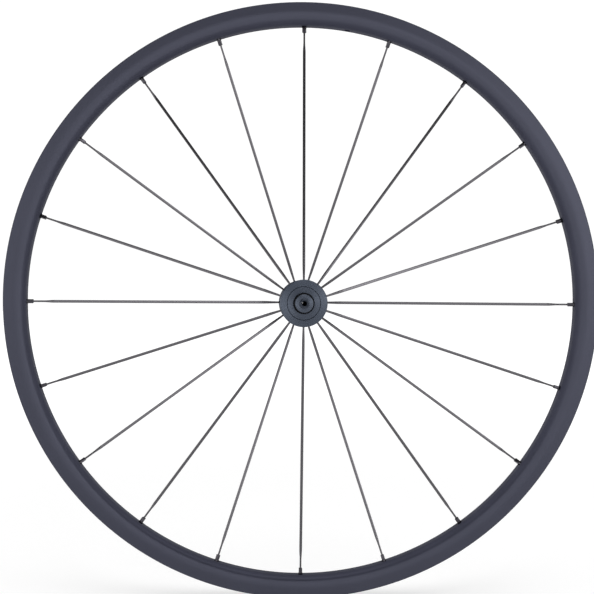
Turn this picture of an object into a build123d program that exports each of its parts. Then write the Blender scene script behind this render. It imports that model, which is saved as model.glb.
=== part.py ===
from build123d import *
import os
from math import cos, radians, sin, sqrt

os.makedirs("parts", exist_ok=True)

# Front wheel of a road bicycle, ready for a tyre and a quick-release skewer.
# The axle runs along Y through the origin and the wheel stands in the XZ plane, in millimetres.

# Rim
bead_seat_diameter = 622.0
rim_flange_height = 6.0
rim_depth = 23.0
rim_width = 21.8
rim_inner_width = 18.0
brake_track_height = 9.0
shoulder_depth = 17.0
shoulder_width = 19.0
spoke_bed_width = 8.0
well_depth = 3.2
well_width = 9.0
rim_bed_wall = 1.4
rim_side_wall = 1.4
spoke_bed_wall = 2.2
chamber_floor_width = 7.4
valve_hole_diameter = 6.5

# Spokes and nipples
spoke_count = 20
spoke_diameter = 2.0
blade_width = 2.7
blade_thickness = 0.95
spoke_head_width = 3.6
spoke_head_length = 1.6
hub_taper_length = 26.0
rim_taper_length = 12.0
rim_round_length = 20.0
thread_past_seat = 1.0
nipple_flats = 3.6
nipple_reach = 6.8
nipple_head_width = 6.6
nipple_head_height = 2.3
nipple_hole_clearance = 0.15
nipple_seat_clearance = 0.1
thread_clearance = 0.05

# Hub shell
flange_thickness = 8.0
flange_face_spacing = 77.0
spoke_seat_diameter = 37.0
spoke_seat_spacing = 68.0
spoke_seat_cover = 6.2
spoke_seat_clearance = 0.15
barrel_diameter = 27.0

# Bearings, axle and end caps
bearing_diameter = 22.0
bearing_width = 6.0
bearing_recess = 1.5
bearing_press_clearance = 0.01
bearing_running_clearance = 0.03
axle_diameter = 10.0
axle_end_diameter = 9.0
axle_length = 109.0
skewer_bore_diameter = 5.1
over_locknut_width = 100.0
end_cap_diameter = 18.6
end_cap_side_clearance = 0.3
end_cap_bore_clearance = 0.02

# Places that several pieces share
rim_outer_radius = bead_seat_diameter / 2 + rim_flange_height
rim_inner_radius = rim_outer_radius - rim_depth
well_radius = bead_seat_diameter / 2 - well_depth
nipple_seat_radius = rim_inner_radius + spoke_bed_wall
spoke_pitch = 360 / spoke_count
seat_run = nipple_seat_radius - spoke_seat_diameter / 2
seat_rise = spoke_seat_spacing / 2
spoke_length = sqrt(seat_run**2 + seat_rise**2)
nipple_foot = spoke_length - spoke_bed_wall - nipple_reach
nipple_head_foot = spoke_length + nipple_seat_clearance + nipple_head_width / 2 * seat_rise / seat_run
flange_radius = spoke_seat_diameter / 2 + spoke_seat_cover
flange_face = flange_face_spacing / 2
bearing_face = flange_face - bearing_recess


def spoke_plane(number):
    """A spoke's seat in its flange: Z runs along the spoke to the rim, and Y about along the axle."""
    turn = radians(number * spoke_pitch)
    flange_side = 1 if number % 2 else -1
    outward = Vector(sin(turn), 0, cos(turn))
    seat = outward * (spoke_seat_diameter / 2) + Vector(0, flange_side * seat_rise, 0)
    return Plane(seat, x_dir=(cos(turn), 0, -sin(turn)), z_dir=outward * nipple_seat_radius - seat)


def blade(width, thickness):
    """Corners of a six-sided section with an edge at each end of its width."""
    corners = [radians(turn) for turn in range(0, 360, 60)]
    return [(width / 2 * cos(turn), thickness / 2 * sin(turn)) for turn in corners]


spoke_planes = [spoke_plane(number) for number in range(spoke_count)]

# Rim: a hollow section with flat brake tracks, bead seats and a well, turned about the axle
with BuildPart() as rim:
    with BuildSketch(Plane.XY):
        with BuildLine():
            Polyline(
                (well_radius, 0),
                (well_radius, well_width / 2),
                (bead_seat_diameter / 2, rim_inner_width / 2),
                (rim_outer_radius, rim_inner_width / 2),
                (rim_outer_radius, rim_width / 2),
                (rim_outer_radius - brake_track_height, rim_width / 2),
                (rim_outer_radius - shoulder_depth, shoulder_width / 2),
                (rim_inner_radius, spoke_bed_width / 2),
                (rim_inner_radius, 0),
                close=True,
            )
        make_face()
        with BuildLine():
            chamber_roof = well_radius - rim_bed_wall
            Polyline(
                (chamber_roof, 0),
                (chamber_roof, rim_width / 2 - rim_side_wall),
                (nipple_seat_radius, chamber_floor_width / 2),
                (nipple_seat_radius, 0),
                close=True,
            )
        make_face(mode=Mode.SUBTRACT)
        mirror(about=Plane.XZ)
    revolve(axis=Axis.Y)
    # Nipple holes through the spoke bed
    for plane in spoke_planes:
        with BuildSketch(plane.offset(spoke_length - 2 * spoke_bed_wall)):
            nipple_hole_radius = nipple_flats / sqrt(2) + nipple_hole_clearance
            RegularPolygon(nipple_hole_radius, 6, major_radius=False)
        extrude(amount=3 * spoke_bed_wall, mode=Mode.SUBTRACT)
    # Valve hole through both walls, midway between two spokes
    with BuildSketch(Plane.XY.rotated((0, spoke_pitch / 2, 0)).offset(rim_inner_radius - rim_depth)):
        Circle(valve_hole_diameter / 2)
    extrude(amount=2 * rim_depth, mode=Mode.SUBTRACT)
rim.part.label = "rim"
export_step(rim.part, "parts/rim.step")

# Spokes: a square head that can't turn in the flange, a flat blade and a round end in the nipple
for number, plane in enumerate(spoke_planes):
    with BuildPart() as spoke:
        with BuildSketch(plane.offset(-spoke_head_length)):
            Rectangle(spoke_head_width, spoke_head_width)
        extrude(amount=spoke_head_length)
        spoke_end = spoke_length + thread_past_seat
        blade_end = spoke_end - rim_round_length - rim_taper_length
        sections = [
            (0, spoke_diameter, spoke_diameter),
            (hub_taper_length, blade_width, blade_thickness),
            (blade_end, blade_width, blade_thickness),
            (blade_end + rim_taper_length, spoke_diameter, spoke_diameter),
            (spoke_end, spoke_diameter, spoke_diameter),
        ]
        for place, width, thickness in sections:
            with BuildSketch(plane.offset(place)):
                Polygon(*blade(width, thickness), align=None)
        loft(ruled=True)
    spoke_name = f"spoke_{number + 1:02d}"
    spoke.part.label = spoke_name
    export_step(spoke.part, f"parts/{spoke_name}.step")

# Nipples: a square head inside the rim on a shank with flats for the spoke key, bored for the spoke
with BuildPart() as spoke_nipples:
    for plane in spoke_planes:
        with BuildSketch(plane.offset(nipple_foot)):
            Rectangle(nipple_flats, nipple_flats)
        extrude(amount=nipple_head_foot - nipple_foot)
        with BuildSketch(plane.offset(nipple_head_foot)):
            Rectangle(nipple_head_width, nipple_head_width)
        extrude(amount=nipple_head_height)
        with BuildSketch(plane.offset(nipple_foot)):
            RegularPolygon(spoke_diameter / 2 + thread_clearance, 6)
        extrude(amount=nipple_head_foot + nipple_head_height - nipple_foot, mode=Mode.SUBTRACT)
spoke_nipples.part.label = "spoke_nipples"
export_step(spoke_nipples.part, "parts/spoke_nipples.step")

# Hub shell: a barrel between two thick flanges, bored for the bearings
with BuildPart() as hub_shell:
    with BuildSketch(Plane.XY):
        with BuildLine():
            Polyline(
                (bearing_diameter / 2, 0),
                (bearing_diameter / 2, flange_face),
                (flange_radius, flange_face),
                (flange_radius, flange_face - flange_thickness),
                (barrel_diameter / 2, flange_face - flange_thickness),
                (barrel_diameter / 2, 0),
                close=True,
            )
        make_face()
        mirror(about=Plane.XZ)
    revolve(axis=Axis.Y)
    # A seat for each spoke's head and shank, open towards the middle of the hub
    for number, plane in enumerate(spoke_planes):
        inward = -1 if number % 2 else 1
        head_room = spoke_head_width + 2 * spoke_seat_clearance
        shank_room = spoke_diameter + 2 * spoke_seat_clearance
        with BuildSketch(plane.offset(-spoke_head_length - spoke_seat_clearance)):
            with Locations((0, inward * (flange_thickness - head_room / 2))):
                Rectangle(head_room, 2 * flange_thickness)
        extrude(amount=spoke_head_length + spoke_seat_clearance, mode=Mode.SUBTRACT)
        with BuildSketch(plane):
            with Locations((0, inward * (flange_thickness - shank_room / 2))):
                Rectangle(shank_room, 2 * flange_thickness)
        extrude(amount=2 * flange_radius, mode=Mode.SUBTRACT)
hub_shell.part.label = "hub_shell"
export_step(hub_shell.part, "parts/hub_shell.step")

# Bearings: two sealed cartridges pressed into the hub shell
with BuildPart() as bearings:
    with BuildSketch(Plane.XZ.offset(-bearing_face)):
        Circle(bearing_diameter / 2 - bearing_press_clearance)
        Circle(axle_diameter / 2 + bearing_running_clearance, mode=Mode.SUBTRACT)
    extrude(amount=bearing_width)
    mirror(about=Plane.XZ)
bearings.part.label = "bearings"
export_step(bearings.part, "parts/bearings.step")

# Axle: a tube that the skewer passes through, turned down at both ends for the fork
with BuildPart() as axle:
    with BuildSketch(Plane.XZ):
        Circle(axle_diameter / 2)
        Circle(skewer_bore_diameter / 2, mode=Mode.SUBTRACT)
    extrude(amount=axle_length / 2, both=True)
    for side in (Plane.XZ, Plane.ZX):
        with BuildSketch(side.offset(over_locknut_width / 2)):
            Circle(end_cap_diameter / 2)
            Circle(axle_end_diameter / 2, mode=Mode.SUBTRACT)
        extrude(amount=axle_length / 2, mode=Mode.SUBTRACT)
axle.part.label = "axle"
export_step(axle.part, "parts/axle.step")

# End caps: collars on the axle that the fork ends bear against
with BuildPart() as end_caps:
    with BuildSketch(Plane.XZ.offset(-over_locknut_width / 2)):
        Circle(end_cap_diameter / 2)
        Circle(axle_diameter / 2 + end_cap_bore_clearance, mode=Mode.SUBTRACT)
    extrude(amount=over_locknut_width / 2 - bearing_face - end_cap_side_clearance)
    mirror(about=Plane.XZ)
end_caps.part.label = "end_caps"
export_step(end_caps.part, "parts/end_caps.step")
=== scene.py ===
import bpy
from math import cos, hypot, pi, radians, sin
from mathutils import Matrix, Vector


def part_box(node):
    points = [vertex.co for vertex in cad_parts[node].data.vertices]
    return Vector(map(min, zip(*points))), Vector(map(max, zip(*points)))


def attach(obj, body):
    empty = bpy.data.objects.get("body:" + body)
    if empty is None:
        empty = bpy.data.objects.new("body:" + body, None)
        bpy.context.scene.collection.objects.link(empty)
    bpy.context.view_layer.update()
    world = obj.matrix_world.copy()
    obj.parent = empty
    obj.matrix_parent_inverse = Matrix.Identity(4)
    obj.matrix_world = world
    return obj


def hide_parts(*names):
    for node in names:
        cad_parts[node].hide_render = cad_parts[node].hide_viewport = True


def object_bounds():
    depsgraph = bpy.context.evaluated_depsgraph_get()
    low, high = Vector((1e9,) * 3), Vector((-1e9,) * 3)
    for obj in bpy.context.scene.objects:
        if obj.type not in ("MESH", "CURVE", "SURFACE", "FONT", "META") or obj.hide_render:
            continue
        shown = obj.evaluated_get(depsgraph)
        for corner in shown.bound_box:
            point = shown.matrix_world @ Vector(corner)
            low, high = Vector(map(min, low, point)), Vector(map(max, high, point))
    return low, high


# Front road wheel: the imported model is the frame, and every shown piece is modelled over its own node
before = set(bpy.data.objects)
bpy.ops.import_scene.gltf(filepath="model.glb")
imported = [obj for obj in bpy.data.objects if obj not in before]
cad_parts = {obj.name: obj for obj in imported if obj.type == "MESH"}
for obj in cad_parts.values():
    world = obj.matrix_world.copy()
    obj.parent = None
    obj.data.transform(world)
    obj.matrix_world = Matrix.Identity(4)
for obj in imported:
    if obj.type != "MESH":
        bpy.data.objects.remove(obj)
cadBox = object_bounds()
mm = 0.001
mergeWithin = 0.001 * mm     # points nearer than this are one
print("frame loaded:", len(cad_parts), "nodes")


# small tools that every piece uses

def deselectAll():
    if bpy.context.mode != "OBJECT":
        bpy.ops.object.mode_set(mode="OBJECT")
    bpy.ops.object.select_all(action="DESELECT")


def pickOnly(piece):
    deselectAll()
    piece.select_set(True)
    bpy.context.view_layer.objects.active = piece


def namePiece(name):
    piece = bpy.context.object
    piece.name = name
    piece.data.name = name
    return piece


def applyPlace(piece):
    pickOnly(piece)
    bpy.ops.object.transform_apply(location=True, rotation=True, scale=True)


def closeUp(piece):
    # merge the seams and turn every face outwards
    pickOnly(piece)
    bpy.ops.object.mode_set(mode="EDIT")
    bpy.ops.mesh.select_all(action="SELECT")
    bpy.ops.mesh.remove_doubles(threshold=mergeWithin)
    bpy.ops.mesh.normals_make_consistent(inside=False)
    bpy.ops.object.mode_set(mode="OBJECT")


def turnOnLathe(name, section, steps):
    # draw a closed section of (radius, along the axle) points in mm, and spin it about the axle
    deselectAll()
    bpy.ops.mesh.primitive_plane_add(size=mm)
    piece = namePiece(name)
    points = [Vector((radius * mm, along * mm, 0)) for radius, along in section]
    bpy.ops.object.mode_set(mode="EDIT")
    bpy.ops.mesh.select_all(action="SELECT")
    bpy.ops.mesh.merge(type="CENTER")
    bpy.ops.transform.translate(value=points[0])
    for here, there in zip(points, points[1:] + points[:1]):
        bpy.ops.mesh.extrude_vertices_move(TRANSFORM_OT_translate={"value": there - here})
    bpy.ops.mesh.select_all(action="SELECT")
    bpy.ops.mesh.remove_doubles(threshold=mergeWithin)
    bpy.ops.mesh.spin(steps=steps, angle=2 * pi, center=(0, 0, 0), axis=(0, 1, 0))
    closeUp(piece)
    return piece


def bothSides(half):
    # a half section from the middle plane outwards, and its mirror image
    return half + [(radius, -along) for radius, along in reversed(half) if along > 0]


def joinAll(name, pieces):
    deselectAll()
    for piece in pieces:
        piece.select_set(True)
    bpy.context.view_layer.objects.active = pieces[0]
    bpy.ops.object.join()
    return namePiece(name)


def combine(piece, other, operation):
    pickOnly(piece)
    step = piece.modifiers.new(operation.lower(), "BOOLEAN")
    step.operation = operation
    step.object = other
    step.solver = "EXACT"
    bpy.ops.object.modifier_apply(modifier=step.name)
    bpy.data.objects.remove(other)


def boxBetween(width, low, high, bevel, bevelSteps=3):
    # a square block along Z with softened edges, in mm
    deselectAll()
    bpy.ops.mesh.primitive_cube_add(size=mm, location=(0, 0, (low + high) / 2 * mm))
    block = bpy.context.object
    block.scale = (width, width, high - low)
    applyPlace(block)
    bpy.ops.object.mode_set(mode="EDIT")
    bpy.ops.mesh.select_all(action="SELECT")
    bpy.ops.mesh.bevel(offset=bevel * mm, segments=bevelSteps)
    bpy.ops.object.mode_set(mode="OBJECT")
    return block


def smoothOver(piece, angle):
    pickOnly(piece)
    bpy.ops.object.shade_smooth_by_angle(angle=radians(angle))


def placedCopy(piece, name, place):
    pickOnly(piece)
    bpy.ops.object.duplicate(linked=False)
    copy = namePiece(name)
    copy.matrix_world = place
    applyPlace(copy)
    return copy


def dressPiece(piece, finish, body, slot, *cadNodes):
    piece.data.materials.clear()
    piece.data.materials.append(finish)
    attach(piece, body)
    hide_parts(*cadNodes)


# the wheel's layout, which follows the solids

wheel = {
    "spokes": 20,
    "seatRadius": 18.5,      # where a spoke's head bears in its flange
    "seatAlong": 34.0,
    "nippleSeat": 296.2,     # inner face of the spoke bed, where a nipple's head bears
    "valveTurn": 9.0,        # degrees from the top spoke, clockwise as the camera sees it
}
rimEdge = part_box("rim")[1].x / mm
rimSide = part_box("rim")[1].y / mm
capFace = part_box("end_caps")[1].y / mm
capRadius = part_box("end_caps")[1].x / mm
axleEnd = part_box("axle")[1].y / mm
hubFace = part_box("hub_shell")[1].y / mm
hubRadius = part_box("hub_shell")[1].x / mm
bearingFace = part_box("bearings")[1].y / mm
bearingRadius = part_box("bearings")[1].x / mm
spokeLength = hypot(wheel["nippleSeat"] - wheel["seatRadius"], wheel["seatAlong"])


def outwards(degrees):
    return Vector((sin(radians(degrees)), 0, cos(radians(degrees))))


def spokeTurn(number):
    return number * 360 / wheel["spokes"]


def spokePlace(number):
    # a spoke's own axes: Z runs from its seat to the rim, and X across its blade
    turn = spokeTurn(number)
    side = 1 if number % 2 else -1
    seat = outwards(turn) * wheel["seatRadius"] + Vector((0, side * wheel["seatAlong"], 0))
    run = (outwards(turn) * wheel["nippleSeat"] - seat).normalized()
    across = outwards(turn + 90)
    axes = Matrix((across, run.cross(across), run)).transposed().to_4x4()
    return Matrix.Translation(seat * mm) @ axes


def drillAlong(direction, start, end, radius, origin=Vector((0, 0, 0)), sides=32):
    # a plain drill, in mm, to be cut out of a piece
    middle = origin + direction * (start + end) / 2
    turn = direction.to_track_quat("Z", "Y").to_euler()
    deselectAll()
    bpy.ops.mesh.primitive_cylinder_add(
        vertices=sides, radius=radius * mm, depth=(end - start) * mm, location=middle * mm, rotation=turn)
    return bpy.context.object


# finishes: a noise is given as (scale per metre, detail) and a bump as (strength, depth in mm)

noiseSpan = (0.3, 0.7)       # nearly all of a noise lies between these


def newFinish(name):
    finish = bpy.data.materials.new(name)
    finish.use_nodes = True
    return finish, finish.node_tree, finish.node_tree.nodes["Principled BSDF"]


def addNode(tree, kind, **settings):
    node = tree.nodes.new(kind)
    for key, value in settings.items():
        setattr(node, key, value)
    return node


def addMath(tree, operation, first, second=None):
    node = addNode(tree, "ShaderNodeMath", operation=operation)
    for socket, value in zip(node.inputs, (first, second)):
        if isinstance(value, (int, float)):
            socket.default_value = value
        elif value is not None:
            tree.links.new(value, socket)
    return node.outputs[0]


def addNoise(tree, vector, scale, detail, dimensions="3D"):
    node = addNode(tree, "ShaderNodeTexNoise", noise_dimensions=dimensions)
    node.inputs["Scale"].default_value = scale
    node.inputs["Detail"].default_value = detail
    tree.links.new(vector, node.inputs["W" if dimensions == "1D" else "Vector"])
    return node.outputs["Fac"]


def addRange(tree, value, low, high, outLow, outHigh, smooth=False):
    node = addNode(tree, "ShaderNodeMapRange", interpolation_type="SMOOTHSTEP" if smooth else "LINEAR")
    tree.links.new(value, node.inputs["Value"])
    for name, number in (("From Min", low), ("From Max", high), ("To Min", outLow), ("To Max", outHigh)):
        node.inputs[name].default_value = number
    return node.outputs["Result"]


def addTint(tree, factor, dark, light):
    node = addNode(tree, "ShaderNodeMix", data_type="RGBA")
    colors = [socket for socket in node.inputs if socket.type == "RGBA"]
    colors[0].default_value = (*dark, 1)
    colors[1].default_value = (*light, 1)
    tree.links.new(factor, node.inputs["Factor"])
    return [socket for socket in node.outputs if socket.type == "RGBA"][0]


def addBump(tree, bsdf, height, strength, depth):
    node = addNode(tree, "ShaderNodeBump")
    node.inputs["Strength"].default_value = strength
    node.inputs["Distance"].default_value = depth * mm
    tree.links.new(height, node.inputs["Height"])
    tree.links.new(node.outputs["Normal"], bsdf.inputs["Normal"])


def wheelCoordinates(tree):
    # the place itself, the distance from the axle and the distance from the middle plane
    place = addNode(tree, "ShaderNodeTexCoord").outputs["Object"]
    parts = addNode(tree, "ShaderNodeSeparateXYZ")
    tree.links.new(place, parts.inputs[0])
    squares = [addMath(tree, "POWER", parts.outputs[axis], 2) for axis in ("X", "Z")]
    radius = addMath(tree, "SQRT", addMath(tree, "ADD", *squares))
    aside = addMath(tree, "ABSOLUTE", parts.outputs["Y"])
    return place, radius, aside


rimLook = {
    "dark": (0.0185, 0.0192, 0.0285),
    "light": (0.0255, 0.0264, 0.0390),
    "cloud": (22, 3),
    "grain": (1400, 2),
    "grainHeight": 0.1,      # beside the height of the track's lines
    "sheen": (0.74, 0.765, 1.0),
    "shine": 0.6,
    "sideRoughness": (0.32, 0.36),
    "trackRoughness": (0.29, 0.36),
    "trackLines": (2600, 2),
    "trackBlend": 0.1,       # mm either way of the track's foot
    "trackInset": (0.4, 0.1),    # mm in from the side, where the lines start and are full
    "bedPaintedLight": 1.8,          # painted light: the bed between the spokes is painted paler than the sides, to lift the shade on the rim's inner side; it is also duller
    "bedRoughness": 0.66,
    "bedShine": 0.2,
    "bedFade": (0.5, 6.8),   # mm up from the bed
    "bump": (0.35, 0.02),
}


def makeRimFinish():
    look = rimLook
    finish, tree, bsdf = newFinish("satinBlackRim")
    place, radius, aside = wheelCoordinates(tree)
    cloud = addNoise(tree, place, *look["cloud"])
    grain = addNoise(tree, place, *look["grain"])
    lines = addNoise(tree, radius, *look["trackLines"], "1D")
    trackFoot = rimEdge - rimShape["trackHeight"]
    footEdges = [(trackFoot + blend) * mm for blend in (-look["trackBlend"], look["trackBlend"])]
    sideEdges = [(rimSide - inset) * mm for inset in look["trackInset"]]
    onTrack = addMath(
        tree, "MULTIPLY",
        addRange(tree, radius, *footEdges, 0, 1), addRange(tree, aside, *sideEdges, 0, 1))
    bedEdges = [(rimEdge - rimShape["depth"] + rise) * mm for rise in look["bedFade"]]
    onBed = addRange(tree, radius, *bedEdges, 1, 0, True)
    # painted light: the base colour is scaled paler towards the spoke bed, lifting the shade on the rim's
    # inner side
    paintedLightScale = addNode(tree, "ShaderNodeVectorMath", operation="SCALE")
    tree.links.new(addTint(tree, cloud, look["dark"], look["light"]), paintedLightScale.inputs[0])
    tree.links.new(addRange(tree, onBed, 0, 1, 1, look["bedPaintedLight"]), paintedLightScale.inputs["Scale"])
    tree.links.new(paintedLightScale.outputs[0], bsdf.inputs["Base Color"])
    side = addRange(tree, grain, *noiseSpan, *look["sideRoughness"])
    track = addRange(tree, lines, *noiseSpan, *look["trackRoughness"])
    roughness = addMath(
        tree, "ADD",
        addMath(tree, "MULTIPLY", side, addMath(tree, "SUBTRACT", 1, onTrack)),
        addMath(tree, "MULTIPLY", track, onTrack))
    dulled = addMath(tree, "MAXIMUM", roughness, addMath(tree, "MULTIPLY", onBed, look["bedRoughness"]))
    tree.links.new(dulled, bsdf.inputs["Roughness"])
    bsdf.inputs["Specular IOR Level"].default_value = look["shine"]
    shine = addRange(tree, onBed, 0, 1, look["shine"], look["bedShine"])
    tree.links.new(shine, bsdf.inputs["Specular IOR Level"])
    bsdf.inputs["Specular Tint"].default_value = (*look["sheen"], 1)
    height = addMath(
        tree, "ADD",
        addMath(tree, "MULTIPLY", lines, onTrack),
        addMath(tree, "MULTIPLY", grain, look["grainHeight"]))
    addBump(tree, bsdf, height, *look["bump"])
    return finish


spokeLook = {
    "dark": (0.088, 0.085, 0.093),
    "light": (0.110, 0.107, 0.115),
    "roughness": (0.21, 0.27),
    "metal": 1.0,
    "stretch": (160, 160, 3),    # across and along a spoke
    "streaks": (5, 3),
    "bump": (0.15, 0.01),
}


def makeSpokeFinish():
    look = spokeLook
    finish, tree, bsdf = newFinish("blackSpokeSteel")
    own = addNode(tree, "ShaderNodeAttribute", attribute_name="ownPlace").outputs["Vector"]
    stretch = addNode(tree, "ShaderNodeMapping")
    stretch.inputs["Scale"].default_value = look["stretch"]
    tree.links.new(own, stretch.inputs["Vector"])
    streak = addNoise(tree, stretch.outputs["Vector"], *look["streaks"])
    tree.links.new(addTint(tree, streak, look["dark"], look["light"]), bsdf.inputs["Base Color"])
    tree.links.new(addRange(tree, streak, *noiseSpan, *look["roughness"]), bsdf.inputs["Roughness"])
    bsdf.inputs["Metallic"].default_value = look["metal"]
    addBump(tree, bsdf, streak, *look["bump"])
    return finish


turnedLook = {
    "hub": {
        "dark": (0.010, 0.013, 0.021),
        "light": (0.016, 0.020, 0.030),
        "roughness": (0.29, 0.40),
        "shine": 1.0,
    },
    "cap": {
        "dark": (0.018, 0.022, 0.032),
        "light": (0.026, 0.031, 0.043),
        "roughness": (0.30, 0.40),
        "shine": 1.0,
    },
    "axle": {
        "dark": (0.014, 0.017, 0.025),
        "light": (0.022, 0.026, 0.036),
        "roughness": (0.36, 0.46),
        "shine": 0.5,
    },
    "cloud": (90, 3),
    "lines": (1600, 2),
    "sheen": (0.70, 0.80, 1.0),
    "stretch": 0.95,         # the shine spreads across the turning lines
    "stretchTurn": 0.25,
    "boreShine": 0.02,       # the axle's bore is unpolished and swallows the light
    "boreFade": (0.05, 0.2),     # mm out from the bore
    "bump": (0.2, 0.03),
}


def makeTurnedFinish(name, look):
    # black anodised metal with the fine lines of turning
    finish, tree, bsdf = newFinish(name)
    place, radius, aside = wheelCoordinates(tree)
    lines = addNoise(tree, addMath(tree, "ADD", radius, aside), *turnedLook["lines"], "1D")
    cloud = addNoise(tree, place, *turnedLook["cloud"])
    tree.links.new(addTint(tree, cloud, look["dark"], look["light"]), bsdf.inputs["Base Color"])
    roughness = addRange(tree, lines, *noiseSpan, *look["roughness"])
    addBump(tree, bsdf, lines, *turnedLook["bump"])
    around = addNode(tree, "ShaderNodeTangent", direction_type="RADIAL", axis="Y")
    tree.links.new(around.outputs["Tangent"], bsdf.inputs["Tangent"])
    bsdf.inputs["Specular Tint"].default_value = (*turnedLook["sheen"], 1)
    bsdf.inputs["Specular IOR Level"].default_value = look["shine"]
    bsdf.inputs["Anisotropic"].default_value = turnedLook["stretch"]
    bsdf.inputs["Anisotropic Rotation"].default_value = turnedLook["stretchTurn"]
    if look is turnedLook["axle"]:
        boreEdges = [(axleShape["bore"] + out) * mm for out in turnedLook["boreFade"]]
        inBore = addRange(tree, radius, *boreEdges, 1, 0)
        roughness = addMath(tree, "MAXIMUM", roughness, inBore)
        shine = addRange(tree, inBore, 0, 1, look["shine"], turnedLook["boreShine"])
        tree.links.new(shine, bsdf.inputs["Specular IOR Level"])
    tree.links.new(roughness, bsdf.inputs["Roughness"])
    return finish


nippleLook = {
    "dark": (0.048, 0.046, 0.054),
    "light": (0.068, 0.065, 0.075),
    "roughness": (0.17, 0.25),
    "metal": 1.0,
    "shine": 0.5,
    "grain": (600, 3),
    "bump": (0.2, 0.02),
}
sealLook = {
    "dark": (0.0030, 0.0036, 0.0060),
    "light": (0.0060, 0.0070, 0.0105),
    "roughness": (0.55, 0.7),
    "metal": 0.0,
    "shine": 0.2,
    "grain": (900, 3),
    "bump": (0.2, 0.02),
}


def makeGrainyFinish(name, look):
    finish, tree, bsdf = newFinish(name)
    place = addNode(tree, "ShaderNodeTexCoord").outputs["Object"]
    grain = addNoise(tree, place, *look["grain"])
    tree.links.new(addTint(tree, grain, look["dark"], look["light"]), bsdf.inputs["Base Color"])
    tree.links.new(addRange(tree, grain, *noiseSpan, *look["roughness"]), bsdf.inputs["Roughness"])
    bsdf.inputs["Metallic"].default_value = look["metal"]
    bsdf.inputs["Specular IOR Level"].default_value = look["shine"]
    addBump(tree, bsdf, grain, *look["bump"])
    return finish


# rim: a hollow section with a curved side, spun about the axle and drilled

rimShape = {
    "steps": 240,
    "depth": 23.0,
    "trackHeight": 9.0,
    "bedHalf": 3.0,              # half of the flat between the curved sides
    "bedPull": 6.8,              # how far the curve leaves the bed level
    "shoulder": (8.6, 1.1),      # down from the track's foot, in from its side
    "pullBelow": (2.6, 0.55),    # the curve's handles at the shoulder
    "pullAbove": (3.0, 0.62),
    "trackPull": 3.2,
    "lowerPoints": 14,
    "upperPoints": 8,
    # the flange's lip and hook: down from the edge, in from the side
    "lip": [
        (8.5, 0), (1.0, 0), (0.7, 0), (0.2, 0.2), (0, 0.7), (0, 1.4), (0.2, 1.8), (0.9, 2.15), (1.8, 2.2),
        (2.8, 1.95), (4.0, 1.7), (5.4, 1.7), (5.9, 2.0), (6.1, 2.5),
    ],
    # the tyre bed and the chamber under it: down from the edge, out from the middle
    "well": [(8.6, 5.5), (9.1, 4.7), (9.2, 4.2), (9.2, 0)],
    "chamber": [(10.6, 0), (10.6, 9.2), (14, 8.9), (17.5, 7.1)],
    "chamberFloor": 3.7,
    "nippleHole": 2.7,           # radii
    "keyHole": 4.45,
    "valveHole": 3.25,
    "nippleDrill": (-6, 3),      # along the spoke, from the nipple's seat
    "keyDrill": (13, 5),         # down from the edge
    "valveDrill": (28, 5),
    "smooth": 25,
}


def bezier(start, startPull, endPull, end, count):
    points = []
    for index in range(count + 1):
        t = index / count
        weights = ((1 - t) ** 3, 3 * t * (1 - t) ** 2, 3 * t * t * (1 - t), t ** 3)
        points.append(tuple(
            sum(weight * point[axis] for weight, point in zip(weights, (start, startPull, endPull, end)))
            for axis in (0, 1)))
    return points


def rimSection():
    # half of the rim, from the middle of the spoke bed round to the middle of the tyre bed
    shape = rimShape
    bed = rimEdge - shape["depth"]
    trackFoot = rimEdge - shape["trackHeight"]
    shoulder = (trackFoot - shape["shoulder"][0], rimSide - shape["shoulder"][1])
    pullBelow = (shoulder[0] - shape["pullBelow"][0], shoulder[1] - shape["pullBelow"][1])
    pullAbove = (shoulder[0] + shape["pullAbove"][0], shoulder[1] + shape["pullAbove"][1])
    trackPull = (trackFoot - shape["trackPull"], rimSide)
    flatEnd = (bed, shape["bedHalf"])
    flatPull = (bed, shape["bedPull"])
    half = [(bed, 0)]
    half += bezier(flatEnd, flatPull, pullBelow, shoulder, shape["lowerPoints"])
    half += bezier(shoulder, pullAbove, trackPull, (trackFoot, rimSide), shape["upperPoints"])[1:]
    half += [(rimEdge - down, rimSide - inset) for down, inset in shape["lip"]]
    half += [(rimEdge - down, out) for down, out in shape["well"]]
    return half


def chamberSection():
    half = [(rimEdge - down, out) for down, out in rimShape["chamber"]]
    return half + [(wheel["nippleSeat"], rimShape["chamberFloor"]), (wheel["nippleSeat"], 0)]


def rimDrills():
    shape = rimShape
    nippleSpan = [spokeLength + along for along in shape["nippleDrill"]]
    keySpan = [rimEdge - down for down in shape["keyDrill"]]
    valveSpan = [rimEdge - down for down in shape["valveDrill"]]
    drills = []
    for number in range(wheel["spokes"]):
        place = spokePlace(number)
        seat = place.translation / mm
        run = place.col[2].to_3d()
        drills.append(drillAlong(run, *nippleSpan, shape["nippleHole"], seat))
        drills.append(drillAlong(outwards(spokeTurn(number)), *keySpan, shape["keyHole"]))
    drills.append(drillAlong(outwards(wheel["valveTurn"]), *valveSpan, shape["valveHole"]))
    return drills


def makeRim():
    rim = turnOnLathe("rimHoop", bothSides(rimSection()), rimShape["steps"])
    chamber = turnOnLathe("rimChamber", bothSides(chamberSection()), rimShape["steps"])
    combine(rim, chamber, "DIFFERENCE")
    combine(rim, joinAll("rimDrills", rimDrills()), "DIFFERENCE")
    closeUp(rim)
    smoothOver(rim, rimShape["smooth"])
    return rim


rim = makeRim()
dressPiece(rim, makeRimFinish(), "wheel", "rim_alloy", "rim")
print("rim ready:", len(rim.data.polygons), "faces")


# spokes: one is modelled along Z and copied to every seat

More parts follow.
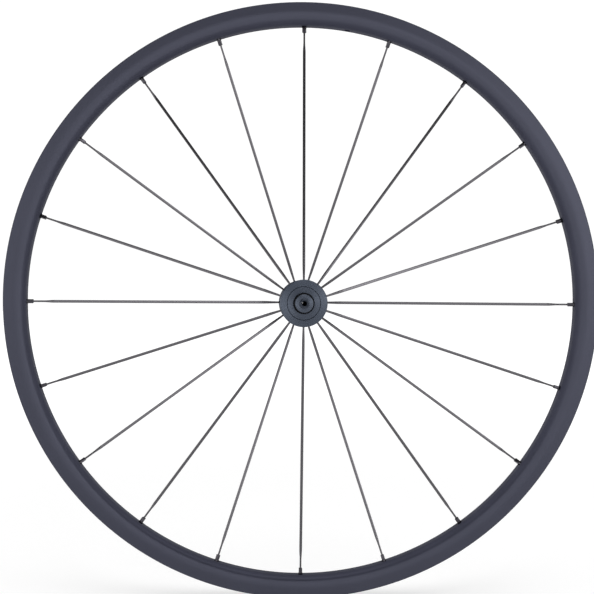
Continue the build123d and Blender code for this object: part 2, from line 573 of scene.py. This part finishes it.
spokeShape = {
    "sides": 16,
    "diameter": 2.0,
    "bladeWidth": 3.05,
    "bladeThickness": 0.95,
    "flatFrom": 0.3,         # share of half the blade's thickness, beyond which it is flat
    "flatOver": 0.5,         # how far the flats run into the tapers
    "headWidth": 3.6,
    "headLength": 1.6,
    "headEdge": 0.35,
    "hubTaper": 26.0,
    "rimTaper": 12.0,
    "rimRound": 20.0,
    "pastSeat": 1.0,
    "endChamfer": 0.3,
    "endDiameter": 1.4,
    "taperSteps": 6,
    "smooth": 40,
}
spokeEnd = spokeLength + spokeShape["pastSeat"]
bladeEnd = spokeEnd - spokeShape["rimRound"] - spokeShape["rimTaper"]


def easing(t):
    return t * t * (3 - 2 * t)


def spokeSections():
    # (along the spoke, width, thickness)
    shape = spokeShape
    shank, tip = shape["diameter"], shape["endDiameter"]
    sections = []
    for start, length, toBlade in ((0, shape["hubTaper"], True), (bladeEnd, shape["rimTaper"], False)):
        for index in range(shape["taperSteps"] + 1):
            share = easing(index / shape["taperSteps"])
            flat = share if toBlade else 1 - share
            width = shank + flat * (shape["bladeWidth"] - shank)
            thickness = shank + flat * (shape["bladeThickness"] - shank)
            sections.append((start + length * index / shape["taperSteps"], width, thickness))
    return sections + [(spokeEnd - shape["endChamfer"], shank, shank), (spokeEnd, tip, tip)]


def flattenBlade(spoke):
    # scale the middle of each side of the blade flat
    shape = spokeShape
    half = shape["bladeThickness"] / 2 * mm
    flatStart = shape["hubTaper"] - shape["flatOver"]
    flatEnd = bladeEnd + shape["flatOver"]
    for side in (1, -1):
        pickOnly(spoke)
        bpy.ops.object.mode_set(mode="EDIT")
        bpy.ops.mesh.select_mode(type="VERT")
        bpy.ops.mesh.select_all(action="DESELECT")
        bpy.ops.object.mode_set(mode="OBJECT")
        for vertex in spoke.data.vertices:
            onBlade = flatStart < vertex.co.z / mm < flatEnd
            vertex.select = onBlade and vertex.co.y * side > shape["flatFrom"] * half
        bpy.ops.object.mode_set(mode="EDIT")
        bpy.ops.transform.resize(value=(1, 0, 1), center_override=(0, side * half, 0))
        bpy.ops.object.mode_set(mode="OBJECT")


def makeSpoke():
    shape = spokeShape
    startAlong = -0.5 * shape["headLength"]     # the shank starts halfway into the head
    deselectAll()
    bpy.ops.mesh.primitive_circle_add(
        vertices=shape["sides"], radius=shape["diameter"] / 2 * mm, fill_type="NGON",
        location=(0, 0, startAlong * mm))
    spoke = namePiece("spokeModel")
    applyPlace(spoke)
    pickOnly(spoke)
    bpy.ops.object.mode_set(mode="EDIT")
    bpy.ops.mesh.select_all(action="SELECT")
    along, width, thickness = startAlong, shape["diameter"], shape["diameter"]
    for nextAlong, nextWidth, nextThickness in spokeSections():
        bpy.ops.mesh.extrude_region_move(TRANSFORM_OT_translate={"value": (0, 0, (nextAlong - along) * mm)})
        bpy.ops.transform.resize(
            value=(nextWidth / width, nextThickness / thickness, 1), center_override=(0, 0, nextAlong * mm))
        along, width, thickness = nextAlong, nextWidth, nextThickness
    bpy.ops.object.mode_set(mode="OBJECT")
    closeUp(spoke)
    flattenBlade(spoke)
    combine(spoke, boxBetween(shape["headWidth"], -shape["headLength"], 0, shape["headEdge"]), "UNION")
    closeUp(spoke)
    smoothOver(spoke, shape["smooth"])
    # each point keeps its place along and across the spoke, for the drawing streaks
    own = spoke.data.attributes.new("ownPlace", "FLOAT_VECTOR", "POINT")
    for vertex, value in zip(spoke.data.vertices, own.data):
        value.vector = vertex.co
    return spoke


spokeFinish = makeSpokeFinish()
spokeModel = makeSpoke()
for number in range(wheel["spokes"]):
    spoke = placedCopy(spokeModel, f"spokeBlade{number + 1:02d}", spokePlace(number))
    dressPiece(spoke, spokeFinish, "wheel", "spoke_steel", f"spoke_{number + 1:02d}")
bpy.data.objects.remove(spokeModel)
print("spokes ready:", wheel["spokes"])


# nipples: a shank with flats, a round neck in the rim and a square head inside it

nippleShape = {
    "bedWall": 2.2,
    "reach": 6.8,
    "flats": 3.6,
    "flatsEdge": 0.35,
    "neckRadius": 2.4,
    "neckLength": 2.4,
    "headWidth": 6.6,
    "headHeight": 2.3,
    "headEdge": 0.5,
    "headLift": 0.504,       # lets the head's edge clear the bed, as the spoke leans
    "headOverlap": 0.5,      # how far shank and neck run into the head
    "bore": 1.06,
    "borePast": 1.0,
    "keySteps": 37,          # each nipple is left at its own turn, in degrees
    "keySpread": 50,
    "smooth": 35,
}


def makeNipple():
    shape = nippleShape
    upwards = Vector((0, 0, 1))
    headFoot = spokeLength + shape["headLift"]
    headTop = headFoot + shape["headHeight"]
    shankTop = headFoot + shape["headOverlap"]
    foot = spokeLength - shape["bedWall"] - shape["reach"]
    neckFoot = spokeLength - shape["bedWall"] - shape["neckLength"] / 2
    nipple = boxBetween(shape["flats"], foot, shankTop, shape["flatsEdge"])
    combine(nipple, drillAlong(upwards, neckFoot, shankTop, shape["neckRadius"]), "UNION")
    combine(nipple, boxBetween(shape["headWidth"], headFoot, headTop, shape["headEdge"]), "UNION")
    bore = drillAlong(upwards, foot - shape["borePast"], headTop + shape["borePast"], shape["bore"])
    combine(nipple, bore, "DIFFERENCE")
    closeUp(nipple)
    smoothOver(nipple, shape["smooth"])
    return nipple


nippleModel = makeNipple()
nippleCopies = []
for number in range(wheel["spokes"]):
    keyTurn = number * nippleShape["keySteps"] % nippleShape["keySpread"] - nippleShape["keySpread"] / 2
    place = spokePlace(number) @ Matrix.Rotation(radians(keyTurn), 4, "Z")
    nippleCopies.append(placedCopy(nippleModel, f"nipple{number + 1:02d}", place))
bpy.data.objects.remove(nippleModel)
nipples = joinAll("nippleSet", nippleCopies)
dressPiece(nipples, makeGrainyFinish("blackNipple", nippleLook), "wheel", "nipple_alloy", "spoke_nipples")
print("nipples ready")


# hub shell: two flanges on a barrel, with a fine ring cut in each face and a seat for each spoke

hubShape = {
    "steps": 128,
    "flange": 8.0,
    "edgeRound": 1.0,
    "barrel": 13.5,
    "barrelFillet": 2.0,
    "bore": 11.0,
    "boreChamfer": 0.15,
    "lineRadius": 17.3,
    "lineWidth": 0.8,
    "lineDepth": 0.6,
    "seatRoom": 0.15,
    "seatOverlap": 0.2,      # how far a shank's room runs into its head's
    "smooth": 30,
}


def roundCorner(centre, radius, startTurn, endTurn, count=5):
    points = []
    for index in range(count + 1):
        turn = radians(startTurn + (endTurn - startTurn) * index / count)
        points.append((centre[0] + radius * cos(turn), centre[1] + radius * sin(turn)))
    return points


def hubSection():
    # half of the hub, from the bore over the flange to the barrel
    shape = hubShape
    inner = hubFace - shape["flange"]
    soft, fillet = shape["edgeRound"], shape["barrelFillet"]
    line, lineHalf = shape["lineRadius"], shape["lineWidth"] / 2
    half = [(shape["bore"], 0), (shape["bore"], hubFace - shape["boreChamfer"]),
            (shape["bore"] + shape["boreChamfer"], hubFace)]
    half += [(line - lineHalf, hubFace), (line, hubFace - shape["lineDepth"]), (line + lineHalf, hubFace)]
    half += roundCorner((hubRadius - soft, hubFace - soft), soft, 90, 0)
    half += roundCorner((hubRadius - soft, inner + soft), soft, 0, -90)
    half += roundCorner((shape["barrel"] + fillet, inner - fillet), fillet, 90, 180)
    return half + [(shape["barrel"], 0)]


def seatCut(number, width, low, high):
    # room for a part of a spoke in its own axes, open towards the middle of the hub
    shape = hubShape
    inwards = -1 if number % 2 else 1
    room = width + 2 * shape["seatRoom"]
    deselectAll()
    bpy.ops.mesh.primitive_cube_add(size=mm)
    cut = bpy.context.object
    cut.scale = (room, 2 * shape["flange"], high - low)
    cut.location = (0, inwards * (shape["flange"] - room / 2) * mm, (low + high) / 2 * mm)
    applyPlace(cut)
    cut.matrix_world = spokePlace(number)
    applyPlace(cut)
    return cut


def makeHub():
    shape = hubShape
    hub = turnOnLathe("hubShell", bothSides(hubSection()), shape["steps"])
    headFoot = -spokeShape["headLength"] - shape["seatRoom"]
    heads = []
    shanks = []
    for number in range(wheel["spokes"]):
        heads.append(seatCut(number, spokeShape["headWidth"], headFoot, 0))
        shanks.append(seatCut(number, spokeShape["diameter"], -shape["seatOverlap"], 2 * hubRadius))
    combine(hub, joinAll("headRooms", heads), "DIFFERENCE")
    combine(hub, joinAll("shankRooms", shanks), "DIFFERENCE")
    closeUp(hub)
    smoothOver(hub, shape["smooth"])
    return hub


hub = makeHub()
dressPiece(hub, makeTurnedFinish("turnedBlackHub", turnedLook["hub"]), "wheel", "hub_alloy", "hub_shell")
print("hub ready:", len(hub.data.polygons), "faces")


# bearings: cartridges with a seal set back between their races

bearingShape = {
    "steps": 96,
    "bore": 5.03,
    "width": 6.0,
    "race": 1.3,
    "sealDepth": 0.35,
    "chamfer": 0.3,
    "smooth": 30,
}


def makeBearings():
    shape = bearingShape
    rings = []
    for side, name in ((1, "bearingLeft"), (-1, "bearingRight")):
        outer, inner = bearingRadius, shape["bore"]
        face, back = bearingFace, bearingFace - shape["width"]
        cut = shape["chamfer"]
        sealIn, sealOut = inner + shape["race"], outer - shape["race"]
        sealFace = face - shape["sealDepth"]
        front = [(inner, face - cut), (inner + cut, face), (sealIn, face), (sealIn, sealFace),
                 (sealOut, sealFace), (sealOut, face), (outer - cut, face), (outer, face - cut)]
        rear = [(radius, face + back - along) for radius, along in reversed(front)]
        section = [(radius, side * along) for radius, along in front + rear]
        rings.append(turnOnLathe(name, section, shape["steps"]))
    bearings = joinAll("bearingPair", rings)
    smoothOver(bearings, shape["smooth"])
    return bearings


bearings = makeBearings()
dressPiece(bearings, makeGrainyFinish("blackSeal", sealLook), "wheel", "bearing_seal", "bearings")
print("bearings ready")


# end caps: collars on the axle with a rounded outer edge

capShape = {
    "steps": 96,
    "foot": 37.3,
    "bore": 5.02,
    "edge": 0.6,
    "smooth": 30,
}


def makeCaps():
    shape = capShape
    rings = []
    for side, name in ((1, "capLeft"), (-1, "capRight")):
        half = [(shape["bore"], shape["foot"]), (capRadius - shape["edge"], shape["foot"]),
                (capRadius, shape["foot"] + shape["edge"])]
        half += roundCorner((capRadius - shape["edge"], capFace - shape["edge"]), shape["edge"], 0, 90)
        half += [(shape["bore"], capFace)]
        rings.append(turnOnLathe(name, [(radius, side * along) for radius, along in half], shape["steps"]))
    caps = joinAll("endCaps", rings)
    smoothOver(caps, shape["smooth"])
    return caps


# axle: a bored tube, turned down at its ends

axleShape = {
    "steps": 96,
    "radius": 5.0,
    "endRadius": 4.5,
    "bore": 2.55,
    "mouth": 1.2,
    "edge": 0.35,
    "smooth": 30,
}


def makeAxle():
    shape = axleShape
    half = [(shape["bore"], 0), (shape["bore"], axleEnd - shape["mouth"]),
            (shape["bore"] + shape["mouth"], axleEnd), (shape["endRadius"] - shape["edge"], axleEnd),
            (shape["endRadius"], axleEnd - shape["edge"]), (shape["endRadius"], capFace),
            (shape["radius"], capFace), (shape["radius"], 0)]
    axle = turnOnLathe("axleTube", bothSides(half), shape["steps"])
    smoothOver(axle, shape["smooth"])
    return axle


caps = makeCaps()
dressPiece(caps, makeTurnedFinish("turnedBlackCap", turnedLook["cap"]), "axle", "cap_alloy", "end_caps")
axle = makeAxle()
dressPiece(axle, makeTurnedFinish("turnedDarkAxle", turnedLook["axle"]), "axle", "axle_alloy", "axle")
print("end caps and axle ready")


# stage: a pale floor under the rim

stageLook = {
    "floorSize": 24.0,
    "paint": (0.92, 0.92, 0.92),
    "glow": 1.32,            # brings the paint up to white where no shadow falls
    "shadowShare": 0.45,
    "shadowReach": (0.6, 2.0),   # metres from the wheel's centre
}


def makeFloor():
    deselectAll()
    bpy.ops.mesh.primitive_plane_add(size=stageLook["floorSize"], location=(0, 0, cadBox[0].z))
    floor = namePiece("paleFloor")
    applyPlace(floor)
    finish, tree, bsdf = newFinish("paleFloorPaint")
    tree.nodes.remove(bsdf)
    paint = addNode(tree, "ShaderNodeBsdfDiffuse")
    paint.inputs["Color"].default_value = (*stageLook["paint"], 1)
    glow = addNode(tree, "ShaderNodeEmission")
    glow.inputs["Color"].default_value = (*stageLook["paint"], 1)
    glow.inputs["Strength"].default_value = stageLook["glow"]
    # the shadow shows near the wheel and fades out further off
    length = addNode(tree, "ShaderNodeVectorMath", operation="LENGTH")
    tree.links.new(addNode(tree, "ShaderNodeTexCoord").outputs["Object"], length.inputs[0])
    shadow = stageLook["shadowShare"]
    share = addRange(tree, length.outputs["Value"], *stageLook["shadowReach"], shadow, 0, True)
    seen = addNode(tree, "ShaderNodeMixShader")
    tree.links.new(share, seen.inputs["Fac"])
    tree.links.new(glow.outputs[0], seen.inputs[1])
    tree.links.new(paint.outputs[0], seen.inputs[2])
    # the camera and mirroring surfaces see the glow, and the light bounces off plain paint
    ray = addNode(tree, "ShaderNodeLightPath")
    looking = addMath(tree, "MAXIMUM", ray.outputs["Is Camera Ray"], ray.outputs["Is Glossy Ray"])
    looking = addMath(tree, "MAXIMUM", looking, ray.outputs["Is Transmission Ray"])
    choice = addNode(tree, "ShaderNodeMixShader")
    tree.links.new(looking, choice.inputs["Fac"])
    tree.links.new(paint.outputs[0], choice.inputs[1])
    tree.links.new(seen.outputs[0], choice.inputs[2])
    tree.links.new(choice.outputs[0], tree.nodes["Material Output"].inputs["Surface"])
    floor.data.materials.append(finish)


makeFloor()


# light: a dim room with white walls, a long bright window and a panel in front, and two soft boxes

studio = {
    "dim": 0.15,             # the room all round
    "front": 1.92,           # the window, at the wheel's height
    "frontFade": (-0.88, -0.45),     # Y of the directions where the window is full and where it ends
    "brightTo": 5.0,         # degrees above or below level
    "dimFrom": 18.0,
    "wall": 0.91,            # behind and at the sides
    "wallTo": 19.0,
    "wallEnds": 38.0,
    "panel": 3.0,            # round, at the right of the window
    "panelAim": (0.30, -0.95, 0.08),
    "panelReach": 0.26,
}


def heightsOf(*keys):
    return [sin(radians(studio[key])) for key in keys]


def makeWorld():
    world = bpy.data.worlds.new("studioRoom")
    bpy.context.scene.world = world
    world.use_nodes = True
    tree = world.node_tree
    direction = addNode(tree, "ShaderNodeTexCoord").outputs["Generated"]
    parts = addNode(tree, "ShaderNodeSeparateXYZ")
    tree.links.new(direction, parts.inputs[0])
    height = addMath(tree, "ABSOLUTE", parts.outputs["Z"])
    forward = addRange(tree, parts.outputs["Y"], *studio["frontFade"], 1, 0, True)
    band = addRange(tree, height, *heightsOf("brightTo", "dimFrom"), studio["front"], 0, True)
    window = addMath(tree, "MULTIPLY", band, forward)
    aside = addNode(tree, "ShaderNodeVectorMath", operation="DISTANCE")
    tree.links.new(direction, aside.inputs[0])
    aside.inputs[1].default_value = studio["panelAim"]
    panel = addRange(tree, aside.outputs["Value"], 0, studio["panelReach"], studio["panel"], 0, True)
    white = addRange(tree, height, *heightsOf("wallTo", "wallEnds"), studio["wall"], 0, True)
    wall = addMath(tree, "MULTIPLY", white, addMath(tree, "SUBTRACT", 1, forward))
    room = addMath(tree, "ADD", addMath(tree, "ADD", window, panel), wall)
    room = addMath(tree, "ADD", room, studio["dim"])
    tree.links.new(room, tree.nodes["Background"].inputs["Strength"])
    tree.nodes["Background"].inputs["Color"].default_value = (1, 1, 1, 1)


softBoxes = [
    {"name": "overhead", "place": (0.2, -0.5, 2.4), "size": (2.2, 2.2), "power": 50},
    {"name": "leftBox", "place": (-2.2, -0.3, -0.1), "size": (0.5, 0.5), "power": 5},
]


def makeSoftBox(name, place, size, power):
    deselectAll()
    aim = (-Vector(place)).to_track_quat("-Z", "Y").to_euler()
    bpy.ops.object.light_add(type="AREA", location=place, rotation=aim)
    box = bpy.context.object
    box.name = name
    box.data.shape = "RECTANGLE"
    box.data.size, box.data.size_y = size
    box.data.energy = power
    box.visible_camera = False


makeWorld()
for box in softBoxes:
    makeSoftBox(**box)
print("stage and lights ready")


# camera: square on to the wheel, a little above and left of its centre

cameraLook = {
    "place": (-0.0430, -1.0, 0.0145),
    "turn": (88.19, -0.38, -1.33),
    "lens": 56.43,
    "sensor": 36.0,
    "shift": (0.0219, 0.0365),   # the picture is cut from a larger frame
}


def makeCamera():
    deselectAll()
    bpy.ops.object.camera_add(
        location=cameraLook["place"], rotation=[radians(turn) for turn in cameraLook["turn"]])
    camera = bpy.context.object
    camera.data.lens = cameraLook["lens"]
    camera.data.sensor_width = cameraLook["sensor"]
    camera.data.shift_x, camera.data.shift_y = cameraLook["shift"]
    bpy.context.scene.camera = camera


makeCamera()
bpy.context.scene.view_settings.view_transform = "Standard"
print("camera ready")
